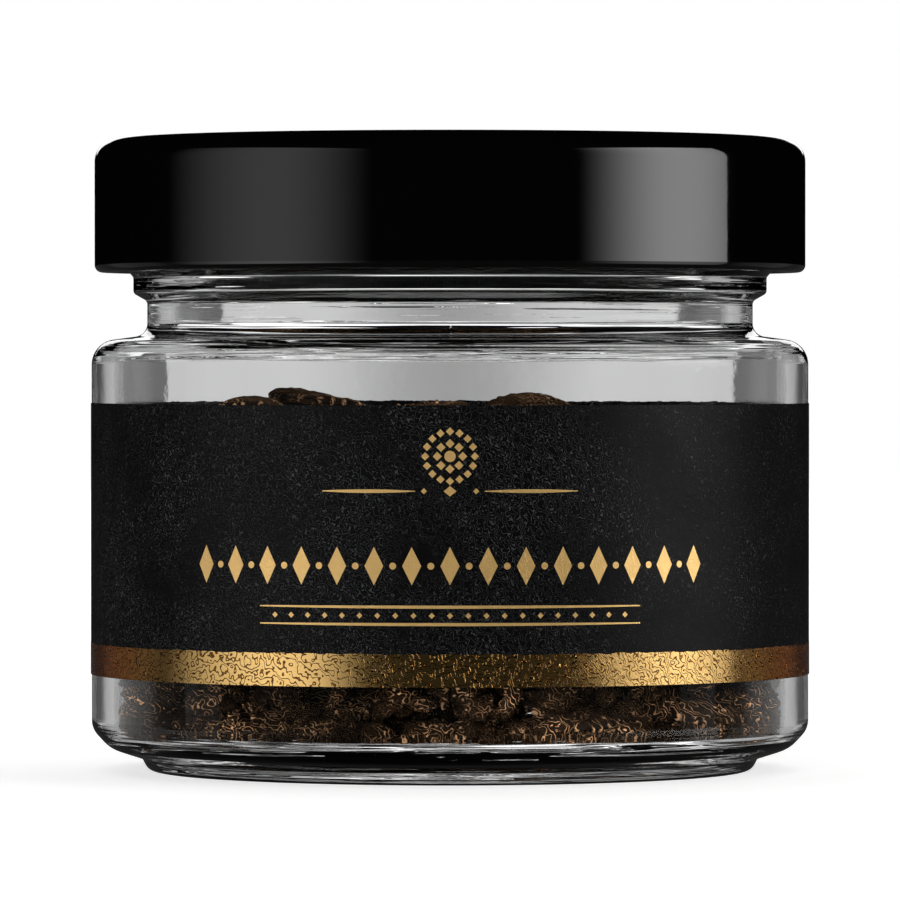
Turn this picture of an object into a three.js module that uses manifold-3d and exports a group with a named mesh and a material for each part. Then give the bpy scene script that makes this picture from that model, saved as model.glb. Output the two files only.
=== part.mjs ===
// A squat glass jar of dried black truffle slices under a deep twist-off lid.
//
// The jar is pressed glass with a narrow foot, a rounded heel, a straight body, a short neck and
// a finish with six short thread ramps. The sheet-metal lid has a rolled lower edge with six lugs
// that hook under the ramps, and a ring of sealing compound sits in its outer channel. A paper
// label wraps the body and its ends meet at the back. Loose, curled slices fill the body.
//
// Millimetres, +Z up. The origin is at the centre of the foot, on the surface the jar stands on.

import * as THREE from "three";
import Module from "manifold-3d";

// ---------------------------------------------------------------- driving dimensions

const FACETS = 40; // round the jar, so a facet spans 9 degrees

const BODY_RADIUS = 43;
const WALL = 2.7;
const INNER_RADIUS = BODY_RADIUS - WALL;
const FLOOR_EDGE = 4.9; // height of the inside floor at the wall
const FLOOR_CROWN = 5.9; // and at its slightly domed centre
const FLOOR_CORNER = 0.8; // radius between the inside floor and the wall
const NECK_RADIUS = 36.33;
const NECK_BORE = 33.5;
const FINISH_RADIUS = 38.6;
const RIM_HEIGHT = 74.3;
const MOUTH_RADIUS = 35;

const LID_RADIUS = 42.64;
const LID_TOP = 75.76;
const LID_BOTTOM = 59.7;
const SHEET = 0.25;
const SHOULDER_RADIUS = 2.8; // round the top edge of the lid
const PANEL_TOP = 75.1; // the middle of the lid is a little lower than its rim
const PANEL_RADIUS = 34.3;
const PANEL_SLOPE = 0.9;
const CURL_RADIUS = 0.9;

const LUG_COUNT = 6;
const LUG_ANGLE = 12; // degrees
const LUG_STEPS = 4;
const LUG_TIP_RADIUS = 38.95;
const LUG_BOTTOM = 60;
const LUG_TOP = 61.3;
const THREAD_LEAD = 14; // rise of a ramp per full turn
const THREAD_START = -7; // degrees, measured from the middle of the lug below it
const THREAD_ANGLE = 42; // leaves a gap that a lug can pass upwards
const THREAD_RADIUS = 40;
const THREAD_HEIGHT = 1.6;
const THREAD_END = 0.1; // how far the tapered ends of a ramp still stand out
const THREAD_STEPS = 12;
const ROOT = 1; // how deep a ramp reaches into the glass it stands on
const THREAD_CLEARANCE = 0.5; // between a lug and the ramp above it

const SEAL_OUTER = 39.2;
const SEAL_INNER = 35.5;
const SEAL_BOTTOM = 74.6;
const SEAL_TOP = 75.2;

const LABEL_BOTTOM = 11.65;
const LABEL_TOP = 44.04;
const LABEL_INNER = 43.03;
const LABEL_OUTER = 43.15;
const LABEL_SEAM = 0.6; // between the two ends, which meet at the back

const SLICE_SIDES = 12;
const SLICE_COUNT = 45;
const SLICE_THICKNESS = [1.5, 2.3];
const SLICE_CURL = 1.8;
const SLICE_CLEARANCE = 0.25; // a slice keeps this off whatever lies below it
const WALL_CLEARANCE = 0.35;
const FILL_SEED = 14;
const HEAP_CELL = 0.5;
const LOOSE_SLICE_DIAMETERS = [18, 27];
const LOOSE_RADIUS = INNER_RADIUS - 5;
const SETTLING = 0.8; // a loose slice tips by this share of the slope it lands on
const STEEPEST = 1.1; // radians
const LOOSE_TRIES = 8;
const CROWN_TRIES = 40;

// The foot of the heap is two rings of slices. Angles are in degrees, and a lean is measured
// from lying flat, with the face turned outwards.
const RINGS = [
  { radius: 34.5, start: -82, diameters: [14, 18], lean: [12, 66] },
  { radius: 20, start: -75, diameters: [14, 18], lean: [30, 70] },
];
const RING_SPACING = 0.6;

// The few slices that stand proud of the heap: where, how far tipped, and how high they reach.
const CROWN_SLICES = [
  { x: -22, y: -12, lean: 18, heading: 0, top: 45.3, diameters: [12, 14] },
  { x: -15, y: 5, lean: 6, heading: 0, top: 46.5, diameters: [15.5, 17] },
  { x: -7, y: -12, lean: 14, heading: 100, top: 45.7, diameters: [9.5, 11.5] },
  { x: -2, y: -23, lean: 6, heading: -60, top: 45.2, diameters: [9.5, 11.5] },
  { x: 10, y: 0, lean: 10, heading: -90, top: 46.2, diameters: [12.5, 14] },
];

// ---------------------------------------------------------------- helpers

const wasm = await Module();
wasm.setup();

const radians = THREE.MathUtils.degToRad;

function finish(color, roughness, metalness, more = {}) {
  return new THREE.MeshStandardMaterial({ color, roughness, metalness, ...more });
}

// A repeatable stream of numbers from 0 to 1.
function randomStream(seed) {
  let state = seed;
  return () => {
    state = (state * 1664525 + 1013904223) % 4294967296;
    return state / 4294967296;
  };
}

const between = (random, low, high) => low + (high - low) * random();

// The facets of a rounded corner: a small one is only a chamfer.
const arcSteps = (fillet) => (fillet < 0.7 ? 1 : fillet < 2 ? 2 : 3);

// An outline through corners given as [radius, height, fillet], each fillet drawn as an arc.
// A closed outline ends where it began.
function outline(corners, closed = false) {
  const points = [];
  corners.forEach(([x, y, fillet = 0], i) => {
    const corner = new THREE.Vector2(x, y);
    const before = corners[(i + corners.length - 1) % corners.length];
    const after = corners[(i + 1) % corners.length];
    if (!fillet) {
      points.push(corner);
      return;
    }
    const back = new THREE.Vector2(before[0], before[1]).sub(corner).normalize();
    const on = new THREE.Vector2(after[0], after[1]).sub(corner).normalize();
    const half = Math.acos(THREE.MathUtils.clamp(back.dot(on), -1, 1)) / 2;
    const start = corner.clone().addScaledVector(back, fillet / Math.tan(half));
    const bisector = back.clone().add(on).normalize();
    const centre = corner.clone().addScaledVector(bisector, fillet / Math.sin(half));
    const sweep = (Math.PI - 2 * half) * Math.sign(on.cross(back));
    const steps = arcSteps(fillet);
    for (let step = 0; step <= steps; step++) {
      points.push(start.clone().rotateAround(centre, (sweep * step) / steps));
    }
  });
  if (closed) points.push(points[0].clone());
  return points;
}

// A solid of revolution about Z. The outline runs anticlockwise with radius as x, height as y.
function turned(points) {
  const geometry = new THREE.LatheGeometry(points, FACETS);
  geometry.rotateX(Math.PI / 2);
  return geometry;
}

function toSolid(geometry) {
  const flat = geometry.index ? geometry.toNonIndexed() : geometry;
  const position = flat.getAttribute("position");
  const vertices = [];
  const triangles = [];
  const known = new Map();
  for (let i = 0; i < position.count; i++) {
    const point = [position.getX(i), position.getY(i), position.getZ(i)];
    const key = point.map((v) => Math.round(v * 1e4)).join();
    if (!known.has(key)) {
      known.set(key, vertices.length / 3);
      vertices.push(...point);
    }
    triangles.push(known.get(key));
  }
  const whole = [];
  for (let i = 0; i < triangles.length; i += 3) {
    const [a, b, c] = triangles.slice(i, i + 3);
    if (a !== b && b !== c && c !== a) whole.push(a, b, c);
  }
  return new wasm.Manifold(
    new wasm.Mesh({
      numProp: 3,
      vertProperties: new Float32Array(vertices),
      triVerts: new Uint32Array(whole),
    }),
  );
}

function toGeometry(solid) {
  const mesh = solid.getMesh();
  const geometry = new THREE.BufferGeometry();
  geometry.setAttribute("position", new THREE.BufferAttribute(mesh.vertProperties, 3));
  geometry.setIndex(new THREE.BufferAttribute(mesh.triVerts, 1));
  geometry.computeVertexNormals();
  return geometry;
}

// A solid swept through a list of four-cornered sections, capped at both ends.
function swept(sections) {
  const vertices = sections.flat(2);
  const faces = [];
  const last = 4 * (sections.length - 1);
  for (let s = 0; s < last; s += 4) {
    for (let side = 0; side < 4; side++) {
      const next = (side + 1) % 4;
      faces.push(s + side, s + 4 + next, s + next, s + side, s + 4 + side, s + 4 + next);
    }
  }
  faces.push(0, 1, 2, 0, 2, 3, last, last + 2, last + 1, last, last + 3, last + 2);
  const geometry = new THREE.BufferGeometry();
  geometry.setAttribute("position", new THREE.Float32BufferAttribute(vertices, 3));
  geometry.setIndex(faces);
  return geometry;
}

// A block between two radii round the axis. The section at each share of the way round is given
// as [inner radius, outer radius, bottom, top].
function ringBlock(start, angle, steps, sectionAt) {
  const sections = [];
  for (let step = 0; step <= steps; step++) {
    const at = radians(start + (angle * step) / steps);
    const [inner, outer, bottom, top] = sectionAt(step / steps);
    const point = (radius, height) => [radius * Math.cos(at), radius * Math.sin(at), height];
    sections.push([point(inner, bottom), point(outer, bottom), point(outer, top), point(inner, top)]);
  }
  return toSolid(swept(sections));
}

// ---------------------------------------------------------------- glass jar

function jarOutline() {
  return outline([
    [0, 1.3],
    [31.5, 1.3, 1],
    [33.2, 0, 0.3],
    [36.2, 0, 0.8],
    [37, 1.5, 0.3],
    [40.9, 2.75, 4],
    [BODY_RADIUS, 5.05, 2.5],
    [BODY_RADIUS, 51.3, 3],
    [NECK_RADIUS, 52.2, 1.6],
    [NECK_RADIUS, 56.25, 0.5],
    [38, 57.2, 0.5],
    [38, 59.1, 0.4],
    [FINISH_RADIUS, 59.8, 0.4],
    [FINISH_RADIUS, RIM_HEIGHT, 1.2],
    [MOUTH_RADIUS, RIM_HEIGHT, 1.2],
    [MOUTH_RADIUS, 60, 6],
    [NECK_BORE, 57, 6],
    [NECK_BORE, 50.8, 1.2],
    [INNER_RADIUS, 50, 1.4],
    [INNER_RADIUS, FLOOR_EDGE, FLOOR_CORNER],
    [0, FLOOR_CROWN],
  ]);
}

// One ramp of the thread, thinning towards both ends. Its lug slides along underneath.
function threadRamp(lugAngle) {
  return ringBlock(lugAngle + THREAD_START, THREAD_ANGLE, THREAD_STEPS, (along) => {
    const rise = (THREAD_LEAD * (THREAD_START + THREAD_ANGLE * along)) / 360;
    const swell = Math.min(1, 6 * Math.min(along, 1 - along));
    const tip = THREE.MathUtils.lerp(FINISH_RADIUS + THREAD_END, THREAD_RADIUS, swell);
    const bottom = LUG_TOP + THREAD_CLEARANCE + rise;
    return [FINISH_RADIUS - ROOT, tip, bottom, bottom + THREAD_HEIGHT];
  });
}

function glassJar() {
  let solid = toSolid(turned(jarOutline()));
  for (let i = 0; i < LUG_COUNT; i++) {
    solid = solid.add(threadRamp((360 / LUG_COUNT) * i));
  }
  return toGeometry(solid);
}

// ---------------------------------------------------------------- lid and seal

function lidOutline() {
  const skirt = LID_RADIUS - SHEET;
  const curlInner = LID_RADIUS - 2 * CURL_RADIUS;
  const curlTop = LID_BOTTOM + 2 * CURL_RADIUS;
  const fold = 0.4;
  return outline([
    [0, PANEL_TOP],
    [PANEL_RADIUS, PANEL_TOP, fold],
    [PANEL_RADIUS + PANEL_SLOPE, LID_TOP, fold],
    [LID_RADIUS, LID_TOP, SHOULDER_RADIUS],
    [LID_RADIUS, LID_BOTTOM, CURL_RADIUS],
    [curlInner, LID_BOTTOM, CURL_RADIUS - 0.05],
    [curlInner, curlTop - 0.3, fold],
    [skirt, curlTop + 0.7, fold],
    [skirt, LID_TOP - SHEET, SHOULDER_RADIUS - SHEET],
    [PANEL_RADIUS + PANEL_SLOPE + 0.1, LID_TOP - SHEET, fold],
    [PANEL_RADIUS + 0.1, PANEL_TOP - SHEET, fold],
    [0, PANEL_TOP - SHEET],
  ].reverse());
}

// One lug, pressed inwards from the rolled edge.
function lug(middle) {
  const root = LID_RADIUS - 2 * CURL_RADIUS + 0.4;
  const section = [LUG_TIP_RADIUS, root, LUG_BOTTOM, LUG_TOP];
  return ringBlock(middle - LUG_ANGLE / 2, LUG_ANGLE, LUG_STEPS, () => section);
}

function lid() {
  let solid = toSolid(turned(lidOutline()));
  for (let i = 0; i < LUG_COUNT; i++) {
    solid = solid.add(lug((360 / LUG_COUNT) * i));
  }
  return toGeometry(solid);
}

function sealingRing() {
  return turned(
    outline(
      [
        [SEAL_INNER, SEAL_BOTTOM, 0.2],
        [SEAL_OUTER, SEAL_BOTTOM, 0.2],
        [SEAL_OUTER, SEAL_TOP, 0.2],
        [SEAL_INNER, SEAL_TOP, 0.2],
      ],
      true,
    ),
  );
}

// ---------------------------------------------------------------- label

function label() {
  const edge = (radius) => {
    const corners = Array.from({ length: FACETS + 1 }, (_, i) => {
      const at = radians(90 + (360 / FACETS) * i);
      return new THREE.Vector2(radius * Math.cos(at), radius * Math.sin(at));
    });
    for (const [end, next] of [[0, 1], [FACETS, FACETS - 1]]) {
      const facet = corners[end].distanceTo(corners[next]);
      corners[end].lerp(corners[next], LABEL_SEAM / 2 / facet);
    }
    return corners;
  };
  const shape = new THREE.Shape([...edge(LABEL_OUTER), ...edge(LABEL_INNER).reverse()]);
  const geometry = new THREE.ExtrudeGeometry(shape, {
    depth: LABEL_TOP - LABEL_BOTTOM,
    bevelEnabled: false,
  });
  return geometry.translate(0, 0, LABEL_BOTTOM);
}

// ---------------------------------------------------------------- truffle slices

// A slice is a thin, uneven disc that curled as it dried: an even rise all round is its cup, and
// a rise along one axis with a fall along the other is its saddle.
function sliceShape(random, [smallest, largest]) {
  return {
    radius: between(random, smallest, largest) / 2,
    thickness: between(random, ...SLICE_THICKNESS),
    stretch: between(random, 0.92, 1.1),
    lobes: [0.08, 0.06, 0.04].map((size) => between(random, -size, size)),
    cup: between(random, -SLICE_CURL, SLICE_CURL),
    saddle: between(random, -SLICE_CURL, SLICE_CURL),
    phase: between(random, 0, 2 * Math.PI),
  };
}

function sliceGeometry({ radius, thickness, stretch, lobes, cup, saddle, phase }) {
  const vertices = [];
  const curl = (x, y) => (cup * (x * x + y * y) + saddle * (x * x - y * y)) / radius ** 2;
  const unevenness = (angle) =>
    lobes.reduce((sum, size, k) => sum + size * Math.cos((k + 2) * angle + phase * (k + 1)), 0);
  for (const side of [1, -1]) {
    for (const ring of [0, 0.55, 1]) {
      const count = ring === 0 ? 1 : SLICE_SIDES;
      for (let i = 0; i < count; i++) {
        const angle = (2 * Math.PI * i) / SLICE_SIDES;
        const away = radius * ring * (1 + ring * unevenness(angle));
        const x = away * Math.cos(angle) * stretch;
        const y = (away * Math.sin(angle)) / stretch;
        vertices.push(x, y, curl(x, y) + (side * thickness) / 2);
      }
    }
  }
  return stitchedDisc(vertices);
}

// Joins a top and a bottom, each a centre and two rings of points, into one closed skin.
function stitchedDisc(vertices) {
  const n = SLICE_SIDES;
  const perSide = 1 + 2 * n;
  const faces = [];
  for (let i = 0; i < n; i++) {
    const j = (i + 1) % n;
    const [centre, a, b, c, d] = [0, 1 + i, 1 + j, 1 + n + i, 1 + n + j];
    const [under, e, f, g, h] = [centre, a, b, c, d].map((index) => index + perSide);
    faces.push(centre, a, b, a, c, d, a, d, b);
    faces.push(under, f, e, e, h, g, e, f, h);
    faces.push(c, g, h, c, h, d);
  }
  const geometry = new THREE.BufferGeometry();
  geometry.setAttribute("position", new THREE.Float32BufferAttribute(vertices, 3));
  geometry.setIndex(faces);
  geometry.computeVertexNormals();
  return geometry;
}

function newSlice(number, random, diameters) {
  const material = finish("#2b1e15", 0.85, 0);
  material.color.offsetHSL(0, 0, between(random, 0, 0.03));
  const mesh = new THREE.Mesh(sliceGeometry(sliceShape(random, diameters)), material);
  mesh.name = "truffle_slice_" + String(number).padStart(2, "0");
  return mesh;
}

const up = new THREE.Vector3(0, 0, 1);

// Sets a slice over x, y, turned by spin about its own axis and tipped by lean towards heading.
function pose(slice, { x, y, spin, lean, heading }) {
  const axis = new THREE.Vector3(-Math.sin(heading), Math.cos(heading), 0);
  slice.quaternion.setFromAxisAngle(axis, lean);
  slice.quaternion.multiply(new THREE.Quaternion().setFromAxisAngle(up, spin));
  slice.position.set(x, y, 0);
  slice.updateMatrix();
}

function corners(slice) {
  const position = slice.geometry.getAttribute("position");
  return Array.from({ length: position.count }, (_, i) =>
    new THREE.Vector3().fromBufferAttribute(position, i).applyMatrix4(slice.matrix),
  );
}

// Moves a slice inwards in a few steps, until it is clear of the wall.
function clearWall(slice) {
  for (let step = 0; step < 40; step++) {
    const furthest = Math.max(...corners(slice).map(({ x, y }) => Math.hypot(x, y)));
    const excess = furthest - (INNER_RADIUS - WALL_CLEARANCE);
    if (excess <= 0) return;
    const { x, y } = slice.position;
    const share = 1 - (excess + 0.05) / Math.hypot(x, y);
    slice.position.set(x * share, y * share, 0);
    slice.updateMatrix();
  }
}

// ---------------------------------------------------------------- heap

// The inside floor: a shallow dome, and a round corner up to the wall.
function floorHeight(radius) {
  const dome = FLOOR_CROWN + ((FLOOR_EDGE - FLOOR_CROWN) * radius) / INNER_RADIUS;
  const across = Math.min(FLOOR_CORNER, radius - (INNER_RADIUS - FLOOR_CORNER));
  if (across < 0) return dome;
  return dome + FLOOR_CORNER - Math.sqrt(FLOOR_CORNER ** 2 - across ** 2) + HEAP_CELL / 2;
}

// The height that the filling has reached, on a square grid. Each slice is lowered on to it.
class Heap {
  constructor() {
    this.half = Math.ceil(INNER_RADIUS / HEAP_CELL) + 2;
    this.width = 2 * this.half + 1;
    this.height = new Float64Array(this.width ** 2).map((_, key) => {
      const column = (key % this.width) - this.half;
      const row = Math.floor(key / this.width) - this.half;
      return floorHeight(HEAP_CELL * Math.hypot(column, row));
    });
  }

  keyOf(column, row) {
    return (row + this.half) * this.width + column + this.half;
  }

  heightAt(x, y) {
    return this.height[this.keyOf(Math.round(x / HEAP_CELL), Math.round(y / HEAP_CELL))];
  }

  // The slope round a point, as its rise per millimetre along x and y.
  slopeAt(x, y) {
    const [samples, away] = [8, 6];
    const slope = new THREE.Vector2();
    for (let i = 0; i < samples; i++) {
      const at = (2 * Math.PI * i) / samples;
      const arm = new THREE.Vector2(away * Math.cos(at), away * Math.sin(at));
      const inside = Math.hypot(x + arm.x, y + arm.y) < INNER_RADIUS - 1;
      const height = inside ? this.heightAt(x + arm.x, y + arm.y) : this.heightAt(x, y);
      slope.addScaledVector(arm, (2 * height) / (samples * away ** 2));
    }
    return slope;
  }

  // The cells under a slice, each with the slice's lowest and highest point there.
  footprint(slice) {
    const cells = new Map();
    const points = corners(slice);
    const index = slice.geometry.getIndex();
    for (let i = 0; i < index.count; i += 3) {
      this.cover([0, 1, 2].map((k) => points[index.getX(i + k)]), cells);
    }
    return cells;
  }

  // Takes in every cell within one cell of a triangle, so that nothing slips between two.
  cover([a, b, c], cells) {
    const flat = new THREE.Triangle(...[a, b, c].map(({ x, y }) => new THREE.Vector3(x, y, 0)));
    const box = new THREE.Box3().setFromPoints([flat.a, flat.b, flat.c]);
    const [near, weights] = [new THREE.Vector3(), new THREE.Vector3()];
    const first = box.min.divideScalar(HEAP_CELL).floor();
    const last = box.max.divideScalar(HEAP_CELL).ceil();
    for (let row = first.y - 1; row <= last.y + 1; row++) {
      for (let column = first.x - 1; column <= last.x + 1; column++) {
        const point = new THREE.Vector3(column, row, 0).multiplyScalar(HEAP_CELL);
        flat.closestPointToPoint(point, near);
        if (near.distanceTo(point) > HEAP_CELL || !flat.getBarycoord(near, weights)) continue;
        const z = weights.dot({ x: a.z, y: b.z, z: c.z });
        const key = this.keyOf(column, row);
        const [low, high] = cells.get(key) ?? [z, z];
        cells.set(key, [Math.min(low, z), Math.max(high, z)]);
      }
    }
  }

  // Where a posed slice comes to rest: how far up it goes, and how high it then reaches.
  rest(slice) {
    const cells = this.footprint(slice);
    let [lift, top] = [-Infinity, -Infinity];
    for (const [key, [low, high]] of cells) {
      lift = Math.max(lift, this.height[key] - low + SLICE_CLEARANCE);
      top = Math.max(top, high);
    }
    return { cells, lift, top: top + lift };
  }

  // Tries a slice in several poses and keeps it in the one that costs least.
  add(slice, poses, cost) {
    const tried = poses.map((wanted) => {
      pose(slice, wanted);
      clearWall(slice);
      return { ...this.rest(slice), place: slice.position.clone(), turn: slice.quaternion.clone() };
    });
    const best = tried.reduce((a, b) => (cost(b.top) < cost(a.top) ? b : a));
    for (const [key, [, high]] of best.cells) {
      this.height[key] = Math.max(this.height[key], high + best.lift);
    }
    slice.position.copy(best.place).setZ(best.lift);
    slice.quaternion.copy(best.turn);
    return best.top;
  }
}

// ---------------------------------------------------------------- filling

const lowest = (top) => top;
const poses = (count, makePose) => Array.from({ length: count }, makePose);

// One ring of slices that stand side by side. The first number is that of its first slice.
function ringOfSlices(heap, random, first, { radius, start, diameters, lean }) {
  const slices = [];
  let around = radians(start);
  const end = around + 2 * Math.PI;
  for (;;) {
    const slice = newSlice(first + slices.length, random, diameters);
    slice.geometry.computeBoundingSphere();
    const half = (slice.geometry.boundingSphere.radius + RING_SPACING / 2) / radius;
    if (around + 2 * half > end) return slices;
    around += half;
    const onEdge = {
      x: radius * Math.cos(around),
      y: radius * Math.sin(around),
      spin: between(random, 0, 2 * Math.PI),
      lean: radians(between(random, ...lean)),
      heading: around,
    };
    heap.add(slice, [onEdge], lowest);
    slices.push(slice);
    around += half;
  }
}

// A pose at a random place, tipped to lie along the heap there.
function loosePose(heap, random) {
  const around = between(random, 0, 2 * Math.PI);
  const away = LOOSE_RADIUS * Math.sqrt(random());
  const [x, y] = [away * Math.cos(around), away * Math.sin(around)];
  const slope = heap.slopeAt(x, y);
  const steepness = Math.min(STEEPEST, SETTLING * Math.atan(slope.length()));
  return {
    x,
    y,
    spin: between(random, 0, 2 * Math.PI),
    lean: -steepness,
    heading: slope.angle() + between(random, -0.5, 0.5),
  };
}

// A pose near a stated one, for the slices that stand proud of the heap.
function nearPose({ x, y, lean, heading }, random) {
  return {
    x: x + between(random, -1.5, 1.5),
    y: y + between(random, -4, 4),
    spin: between(random, 0, 2 * Math.PI),
    lean: radians(lean + between(random, -8, 8)),
    heading: radians(heading),
  };
}

function fillJar() {
  const random = randomStream(FILL_SEED);
  const heap = new Heap();
  const slices = [];
  for (const ring of RINGS) {
    slices.push(...ringOfSlices(heap, random, slices.length + 1, ring));
  }
  while (slices.length < SLICE_COUNT - CROWN_SLICES.length) {
    const slice = newSlice(slices.length + 1, random, LOOSE_SLICE_DIAMETERS);
    heap.add(slice, poses(LOOSE_TRIES, () => loosePose(heap, random)), lowest);
    slices.push(slice);
  }
  for (const crown of CROWN_SLICES) {
    const slice = newSlice(slices.length + 1, random, crown.diameters);
    const missing = (top) => Math.abs(top - crown.top);
    heap.add(slice, poses(CROWN_TRIES, () => nearPose(crown, random)), missing);
    slices.push(slice);
  }
  return slices;
}

// ---------------------------------------------------------------- jar of slices

function named(name, geometry, material) {
  const mesh = new THREE.Mesh(geometry, material);
  mesh.name = name;
  return mesh;
}

const jar = new THREE.Group();
const clear = { transparent: true, opacity: 0.35 };
jar.add(named("glass_jar", glassJar(), finish("#dfe6e6", 0.05, 0, clear)));
jar.add(named("label", label(), finish("#0b0b0c", 0.6, 0)));
jar.add(...fillJar());

const closure = new THREE.Group();
closure.add(named("lid", lid(), finish("#060606", 0.18, 0.2)));
closure.add(named("sealing_ring", sealingRing(), finish("#d9d6cc", 0.6, 0)));

const closedJar = new THREE.Group();
closedJar.add(jar, closure);

export default closedJar;
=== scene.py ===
"""A squat glass jar of dried black truffle slices, under a twist-off lid and in a foil-banded label."""

import math
import random
from functools import partial

import bmesh
import bpy
from mathutils import Matrix, Vector, noise


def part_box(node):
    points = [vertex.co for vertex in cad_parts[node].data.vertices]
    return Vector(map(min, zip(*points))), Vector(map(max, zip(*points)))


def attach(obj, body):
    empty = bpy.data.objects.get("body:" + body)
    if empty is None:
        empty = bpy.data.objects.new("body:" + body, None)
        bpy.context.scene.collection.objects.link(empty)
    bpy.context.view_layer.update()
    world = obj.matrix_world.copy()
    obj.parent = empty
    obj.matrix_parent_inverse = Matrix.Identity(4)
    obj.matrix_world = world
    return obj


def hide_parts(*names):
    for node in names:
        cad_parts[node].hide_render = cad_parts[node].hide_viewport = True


bl_info = {
    "name": "Jar of Dried Truffle",
    "version": (1, 0, 0),
    "blender": (4, 5, 0),
    "location": "3D View > Sidebar > Truffle Jar",
    "description": "Builds a glass jar of dried truffle slices around its packed frame",
    "category": "Add Mesh",
}

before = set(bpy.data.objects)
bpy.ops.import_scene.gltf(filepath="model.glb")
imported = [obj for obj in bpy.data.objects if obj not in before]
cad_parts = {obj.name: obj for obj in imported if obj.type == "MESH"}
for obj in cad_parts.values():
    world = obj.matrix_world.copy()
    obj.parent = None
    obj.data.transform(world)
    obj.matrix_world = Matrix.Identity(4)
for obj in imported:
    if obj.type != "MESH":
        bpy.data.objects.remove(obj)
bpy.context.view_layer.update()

MM = 0.001
SAME_PLACE = 1e-6  # in metres
SPIN_STEPS = 240
ARC_STEP = math.radians(9)
SHARP_ANGLE = math.radians(35)
ALL_SMOOTH = math.pi
LONG_STRAIGHT = 0.8
HOLD = 0.12

JAR_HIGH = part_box("glass_jar")[1]
LID_LOW, LID_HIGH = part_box("lid")
SEAL_LOW, SEAL_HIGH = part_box("sealing_ring")
LABEL_LOW, LABEL_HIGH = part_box("label")


# ---------------------------------------------------------------- sizes and colours


def colour_setting(name, description, default):
    """A setting that is a colour."""
    return bpy.props.FloatVectorProperty(
        name=name, description=description, default=default, size=3, subtype="COLOR"
    )


def length_setting(name, description, default):
    """A setting that is a length in metres."""
    return bpy.props.FloatProperty(
        name=name, description=description, default=default, unit="LENGTH", subtype="DISTANCE"
    )


class GlassSettings(bpy.types.PropertyGroup):
    tint: colour_setting("Tint", "Colour that the glass gives to what is behind it", (0.985, 0.988, 0.986))
    thread_count: bpy.props.IntProperty(
        name="Threads", description="Short thread ramps round the finish", default=6
    )


class LidSettings(bpy.types.PropertyGroup):
    sheet: length_setting("Sheet", "Thickness of the lid's sheet metal", 0.25 * MM)
    lacquer: colour_setting("Lacquer", "Colour of the lid", (0.0008, 0.0008, 0.0009))
    lug_count: bpy.props.IntProperty(name="Lugs", description="Lugs on the rolled edge", default=6)


class LabelSettings(bpy.types.PropertyGroup):
    band_height: length_setting("Band height", "Height of the foil band along the label", 3.8 * MM)
    paper: colour_setting("Paper", "Colour of the paper", (0.002, 0.002, 0.0021))
    foil: colour_setting("Gold", "Colour of the foil and of the gold ink", (0.86, 0.55, 0.2))


class SliceSettings(bpy.types.PropertyGroup):
    flesh: colour_setting("Flesh", "Colour of the dried flesh", (0.007, 0.004, 0.0022))
    veins: colour_setting("Veins", "Colour of the paler veins", (0.92, 0.52, 0.26))
    rind: colour_setting("Rind", "Colour of the rind", (0.012, 0.008, 0.006))
    crumbs: bpy.props.IntProperty(
        name="Crumbs", description="Broken pieces along the foot of the heap", default=1500
    )


# ---------------------------------------------------------------- meshes


def rounded_outline(corners, closed=False):
    """Points through corners given as (radius, height, fillet) in millimetres, each fillet an arc."""
    points = []
    places = [Vector((radius, 0, height)) for radius, height, _ in corners]
    for i, (_, _, fillet) in enumerate(corners):
        corner = places[i]
        if not fillet:
            points.append(corner)
            continue
        back = (places[i - 1] - corner).normalized()
        on = (places[(i + 1) % len(places)] - corner).normalized()
        half = back.angle(on) / 2
        centre = corner + (back + on).normalized() * fillet / math.sin(half)
        start = corner + back * fillet / math.tan(half) - centre
        end = corner + on * fillet / math.tan(half) - centre
        steps = max(2, math.ceil(start.angle(end) / ARC_STEP))
        for step in range(steps + 1):
            turn = Matrix.Rotation(start.angle(end) * step / steps, 3, start.cross(end))
            points.append(centre + turn @ start)
    return held(points + [points[0]] if closed else points)


def held(points):
    """Adds a point close to each end of a long straight, so that smooth shading leaves it flat."""
    outline = []
    for point, after in zip(points, points[1:]):
        outline.append(point)
        along = after - point
        if along.length > LONG_STRAIGHT:
            hold = along.normalized() * HOLD
            outline += [point + hold, after - hold]
    return outline + points[-1:]


def wire(outline):
    """A bmesh, in metres, of one chain of edges. A closed outline ends where it starts."""
    bm = bmesh.new()
    closed = (outline[0] - outline[-1]).length < SAME_PLACE
    points = outline[:-1] if closed else outline
    verts = [bm.verts.new(point * MM) for point in points]
    for pair in zip(verts, verts[1:] + verts[:1] if closed else verts[1:]):
        bm.edges.new(pair)
    return bm


def spin(bm, steps=SPIN_STEPS):
    """Turns a chain of edges once round the Z axis into a closed shell."""
    geometry = bm.verts[:] + bm.edges[:]
    bmesh.ops.spin(
        bm, geom=geometry, cent=(0, 0, 0), axis=(0, 0, 1), angle=2 * math.pi, steps=steps, use_merge=True
    )
    bmesh.ops.remove_doubles(bm, verts=bm.verts, dist=SAME_PLACE)
    bmesh.ops.recalc_face_normals(bm, faces=bm.faces)


def push_out(bm, distance):
    """Moves each point away from the Z axis by distance(radius, height, angle), all in millimetres."""
    for vert in bm.verts:
        radius = math.hypot(vert.co.x, vert.co.y) / MM
        angle = math.atan2(vert.co.y, vert.co.x)
        share = 1 + distance(radius, vert.co.z / MM, angle) / max(radius, 1)
        vert.co.x *= share
        vert.co.y *= share


def shade(bm, sharp=SHARP_ANGLE):
    """Smooth shading that keeps the sharp edges."""
    for face in bm.faces:
        face.smooth = True
    for edge in bm.edges:
        edge.smooth = edge.calc_face_angle(0) < sharp


def new_object(name, data):
    """An object in the scene."""
    made = bpy.data.objects.new(name, data)
    bpy.context.scene.collection.objects.link(made)
    return made


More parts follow.
